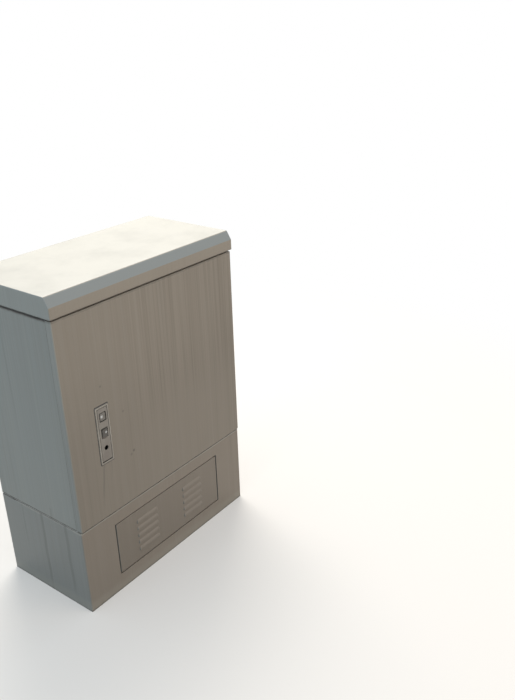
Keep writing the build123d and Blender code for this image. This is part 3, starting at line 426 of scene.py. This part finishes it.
roofPaint = {
    # The roof's flat top is painted near-white, as sunlight
    "seed": 6.2, "streaks": 0.2, "tone": (1.08, 1.08, 1.08), "paintedSunlight": 0.85,
    # Painted shade along the bottom edge of the fascia, over the gap below it
    "shadeAndGrimePlaces": [((None, None, roofLow.z), (None, None, roofLow.z + 0.001), 0.002, 0.5)],
}
dressed(paintMaterial("roofPaint", roofPaint), "roof_cap")

topPaint = {
    "seed": 4.4, "streaks": 0.1, "tone": (0.9, 0.9, 0.9),
    # Painted shade: the top plate is darkened where it lies under the roof
    "shadeAndGrimePlaces": [((None, None, bodyHigh.z - 0.001), (None, None, roofHigh.z), 0.0004, 1.6)],
}
dressed(paintMaterial("topPaint", topPaint), "top_plate")
print("outer paint done")


# Metals, each with its crystal cells per metre
metals = {
    "galvanisedSteel": {
        "light": (0.56, 0.58, 0.59), "dark": (0.40, 0.42, 0.44), "rough": 0.42, "cells": 90,
        "parts": (
            "floor_plate", "door_frame", "door_stiffener_left", "door_stiffener_right",
            "document_pocket", "equipment_rail_left", "equipment_rail_right", "spool_plate",
            "clamp_bar", "rod_keepers", "upper_lock_rod", "lower_lock_rod",
            "hinge_lower_frame_leaf", "hinge_middle_frame_leaf", "hinge_upper_frame_leaf",
            "hinge_lower_door_leaf", "hinge_middle_door_leaf", "hinge_upper_door_leaf",
        ),
    },
    "platedSteel": {
        "light": (0.62, 0.60, 0.52), "dark": (0.45, 0.43, 0.36), "rough": 0.32, "cells": 400,
        "parts": (
            "cover_wing_screws", "base_bolts", "roof_bolts", "hinge_pins", "handle_pin",
            "earth_bolts",
        ),
    },
    "barBrass": {
        "light": (0.74, 0.57, 0.28), "dark": (0.50, 0.36, 0.16), "rough": 0.28, "cells": 500,
        "parts": ("earth_bar",),
    },
}
metalSurface = {
    "spangle": ((0.2, 0.0), (0.8, 1.0)), "shadeRoughness": 0.15, "grainDepth": 0.00004,
}


def metalMaterial(name, look):
    material, tree, shader = startMaterial(name)
    cells = node(tree, "ShaderNodeTexVoronoi")
    cells.inputs["Scale"].default_value = 1.0
    tree.links.new(placed(tree, (look["cells"],) * 3), cells.inputs["Vector"])
    spangle = ramp(tree, cells.outputs["Color"], metalSurface["spangle"])
    both = plus(tree, spangle, pattern(tree, "dullMetal"))
    shade = maths(tree, "MULTIPLY", both, 0.5, clamp=True)
    shader.inputs["Metallic"].default_value = 1.0
    colour = mixed(tree, shade, look["dark"], look["light"])
    rough = plus(tree, times(tree, shade, metalSurface["shadeRoughness"]), look["rough"])
    relief = pattern(tree, "metalGrain")
    finishSurface(tree, shader, colour, rough, relief, metalSurface["grainDepth"])
    return material


for name, look in metals.items():
    dressed(metalMaterial(name, look), *look["parts"])


# Plastics, rubber, inner paint and the lock's cast parts, each with its grain per metre.
# Behind a given plane across Y, recesses get painted shade with some old dirt.
# A spot, a centre and a size, is a painted highlight.
buttonLow, buttonHigh = corners("push_button")
shutterLow, shutterHigh = corners("dust_cover")
buttonZ, shutterZ = (buttonLow.z + buttonHigh.z) / 2, (shutterLow.z + shutterHigh.z) / 2
plains = {
    "sealRubber": {
        "first": (0.022, 0.022, 0.023), "second": (0.05, 0.048, 0.044), "rough": 0.75, "grain": 700,
        "parts": ("floor_grommets", "roof_gasket", "door_gasket"),
    },
    "darkPlastic": {
        "first": (0.03, 0.03, 0.033), "second": (0.06, 0.058, 0.055), "rough": 0.5, "grain": 900,
        "parts": ("rod_guides", "cable_clamps", "earth_posts"),
    },
    "spoolPlastic": {
        "first": (0.66, 0.66, 0.62), "second": (0.56, 0.56, 0.52), "rough": 0.4, "grain": 700,
        "parts": ("fibre_spools",),
    },
    "adapterPlastic": {
        "first": (0.02, 0.12, 0.42), "second": (0.03, 0.17, 0.5), "rough": 0.3, "grain": 900,
        "parts": ("fibre_adapters",),
    },
    "trayPaint": {
        "first": (0.62, 0.62, 0.58), "second": (0.5, 0.5, 0.465), "rough": 0.42, "grain": 800,
        "parts": tuple(f"splice_tray_{i}" for i in range(1, 7)),
    },
    # Painted light: the rim is set lighter than the lever, for light caught on its edge
    "skyLitLockRim": {
        "first": (0.325, 0.298, 0.258), "second": (0.262, 0.238, 0.204), "rough": 0.5,
        "grain": 800, "darkRecessFrom": lockLow.y + 0.0022, "parts": ("lock_frame",),
    },
    "lockLever": {
        "first": (0.241, 0.220, 0.192), "second": (0.194, 0.172, 0.150), "rough": 0.46,
        "grain": 800, "darkRecessFrom": lockLow.y + 0.0006, "parts": ("lock_handle",),
    },
    # Painted shade with some grime: the cylinder, plug and rivet are dark, so the recess reads
    # shaded
    "shadedGrimyCylinder": {
        "first": (0.12, 0.10, 0.083), "second": (0.06, 0.05, 0.042), "rough": 0.5, "grain": 700,
        "parts": ("lock_cylinder", "lock_plug", "dust_cover_rivet"),
    },
    "oldSpindle": {
        "first": (0.62, 0.55, 0.46), "second": (0.5, 0.44, 0.37), "rough": 0.5, "grain": 700,
        "parts": ("latch_cam",),
    },
    "buttonWithHighlight": {
        "first": (0.190, 0.174, 0.155), "second": (0.120, 0.110, 0.096), "rough": 0.38,
        "grain": 700, "darkRecessFrom": buttonLow.y + 0.0012, "parts": ("push_button",),
        # A painted highlight on the button's face
        "paintedHighlightSpot": ((lockX - 0.003, buttonLow.y, buttonZ + 0.001), 0.012),
    },
    "shutterMetal": {
        "first": (0.080, 0.073, 0.064), "second": (0.043, 0.039, 0.034), "rough": 0.4,
        "grain": 700, "parts": ("dust_cover",),
        # A painted highlight at the dust cover's upper right
        "paintedHighlightSpot": ((lockX + 0.0035, shutterLow.y, shutterZ + 0.001), 0.009),
    },
}
plainSurface = {
    # The colour of painted highlights
    "highlightColour": (0.60, 0.61, 0.60),
    "scuffGain": 1.5, "scuffLift": 0.02, "scuffShare": 0.4,
    "darkRecessTo": 1.0, "darkRecessSoft": 0.0004, "darkRecessShare": 0.88,
    "patchRoughness": 0.14, "grainDetail": 2, "grainDepth": 0.00005,
}


def plainMaterial(name, look):
    material, tree, shader = startMaterial(name)
    patches = pattern(tree, "agedPatches")
    colour = mixed(tree, patches, look["first"], look["second"])
    gain, lift = plainSurface["scuffGain"], plainSurface["scuffLift"]
    light = tuple(min(1.0, c * gain + lift) for c in look["first"])
    scuffs = pattern(tree, "scuffs", (2, 2, 2))
    colour = laid(tree, scuffs, plainSurface["scuffShare"], colour, light)
    # Painted shade with some old dirt, behind the given plane across Y
    if "darkRecessFrom" in look:
        reach = (look["darkRecessFrom"], plainSurface["darkRecessTo"], plainSurface["darkRecessSoft"])
        shadedAndGrimy = bandOf(tree, axisOf(tree, "Y"), *reach)
        colour = laid(tree, shadedAndGrimy, plainSurface["darkRecessShare"], colour, paint["grimeAndShade"])
    # A painted highlight: a small bright spot
    if "paintedHighlightSpot" in look:
        colour = mixed(tree, spotMask(tree, *look["paintedHighlightSpot"]), colour, plainSurface["highlightColour"])
    rough = plus(tree, times(tree, patches, plainSurface["patchRoughness"]), look["rough"])
    relief = noise(tree, (look["grain"],) * 3, plainSurface["grainDetail"])
    finishSurface(tree, shader, colour, rough, relief, plainSurface["grainDepth"])
    return material


for name, look in plains.items():
    dressed(plainMaterial(name, look), *look["parts"])
print("inner materials done")


# Floor, light and camera. The camera and reflections see a white studio, and the cabinet is lit
# by a duller sky and floor.
studio = {
    "white": (1, 1, 1, 1),
    "floorSize": 24.0,
    "floorSeen": (0.78, 0.73, 0.675),
    "floorBounce": (0.265, 0.245, 0.22),
    "floorRoughness": 0.85,
    "floorSpecular": 0.1,
    "floorGlow": 0.22,
    "shadowReach": (0.9, 2.2),
    "sky": (0.82, 0.93, 1.02),
    "skyStrength": 0.765,
    "middle": (0, 0, 0.42),
}


def seenRays(tree):
    rays = node(tree, "ShaderNodeLightPath")
    return maths(tree, "MAXIMUM", rays.outputs["Is Camera Ray"], rays.outputs["Is Glossy Ray"])


def blended(tree, share, first, second, output):
    made = node(tree, "ShaderNodeMixShader")
    for socket, source in zip(made.inputs, (share, first.outputs[0], second.outputs[0])):
        tree.links.new(source, socket)
    tree.links.new(made.outputs[0], tree.nodes[output].inputs["Surface"])


bpy.ops.object.select_all(action="DESELECT")
bpy.ops.mesh.primitive_plane_add(size=studio["floorSize"], location=(0, 0, 0))
floor = bpy.context.object
floor.name = "studioFloor"
floorMaterial, floorTree, floorShader = startMaterial("studioFloor")
floorSees = seenRays(floorTree)
floorColour = mixed(floorTree, floorSees, studio["floorBounce"], studio["floorSeen"])
floorTree.links.new(floorColour, floorShader.inputs["Base Color"])
floorShader.inputs["Roughness"].default_value = studio["floorRoughness"]
floorShader.inputs["Specular IOR Level"].default_value = studio["floorSpecular"]
glow = node(floorTree, "ShaderNodeEmission")
glow.inputs["Color"].default_value = studio["white"]
distance = node(floorTree, "ShaderNodeVectorMath", operation="LENGTH")
floorPlace = node(floorTree, "ShaderNodeTexCoord").outputs["Object"]
floorTree.links.new(floorPlace, distance.inputs[0])
far = smooth(floorTree, distance.outputs["Value"], *studio["shadowReach"])
glowing = times(floorTree, maths(floorTree, "MAXIMUM", far, studio["floorGlow"]), floorSees)
blended(floorTree, glowing, floorShader, glow, "Material Output")
floor.data.materials.append(floorMaterial)

world = bpy.data.worlds.new("studioWorld")
bpy.context.scene.world = world
world.use_nodes = True
worldTree = world.node_tree
background = worldTree.nodes["Background"]
background.inputs["Color"].default_value = (*studio["sky"], 1)
background.inputs["Strength"].default_value = studio["skyStrength"]
seen = node(worldTree, "ShaderNodeBackground")
seen.inputs["Color"].default_value = studio["white"]
seen.inputs["Strength"].default_value = 1.0
blended(worldTree, seenRays(worldTree), background, seen, "World Output")

# Places and sizes in metres, power in watts
lamps = {
    "keyAbove": {"at": (1.3, 1.3, 3.2), "size": 1.8, "power": 97, "colour": (1.0, 0.97, 0.92)},
    "fillLeft": {"at": (-3.0, -0.2, 1.6), "size": 2.5, "power": 19, "colour": (0.63, 0.83, 1.0)},
    "fillFront": {"at": (0.9, -3.2, 1.5), "size": 2.5, "power": 42, "colour": (1.0, 0.80, 0.63)},
}
for name, lamp in lamps.items():
    light = bpy.data.lights.new(name, "AREA")
    light.size = lamp["size"]
    light.energy = lamp["power"]
    light.color = lamp["colour"]
    holder = bpy.data.objects.new(name, light)
    holder.location = lamp["at"]
    aim = Vector(studio["middle"]) - Vector(lamp["at"])
    holder.rotation_euler = aim.to_track_quat("-Z", "Y").to_euler()
    bpy.context.scene.collection.objects.link(holder)

# Angles in degrees, lens and sensor in millimetres
view = {
    "at": (-1.213, -1.418, 1.398),
    "yaw": 54.44,
    "pitch": 23.92,
    "roll": -0.86,
    "lens": 39.14,
    "sensorWidth": 36,
    "shift": (-0.0414, -0.014),
}
yaw, pitch, roll = (math.radians(view[k]) for k in ("yaw", "pitch", "roll"))
forward = Vector((
    math.sin(yaw) * math.cos(pitch), math.cos(yaw) * math.cos(pitch), -math.sin(pitch),
))
level = Vector((math.cos(yaw), -math.sin(yaw), 0))
above = level.cross(forward)
right = level * math.cos(roll) + above * math.sin(roll)
upward = above * math.cos(roll) - level * math.sin(roll)
camera = bpy.data.cameras.new("photoCamera")
camera.lens = view["lens"]
camera.sensor_width = view["sensorWidth"]
camera.shift_x, camera.shift_y = view["shift"]
cameraHolder = bpy.data.objects.new("photoCamera", camera)
turn = Matrix((right, upward, -forward)).transposed().to_4x4()
cameraHolder.matrix_world = Matrix.Translation(view["at"]) @ turn
bpy.context.scene.collection.objects.link(cameraHolder)
bpy.context.scene.camera = cameraHolder
bpy.context.scene.view_settings.view_transform = "Standard"
print("studio ready")
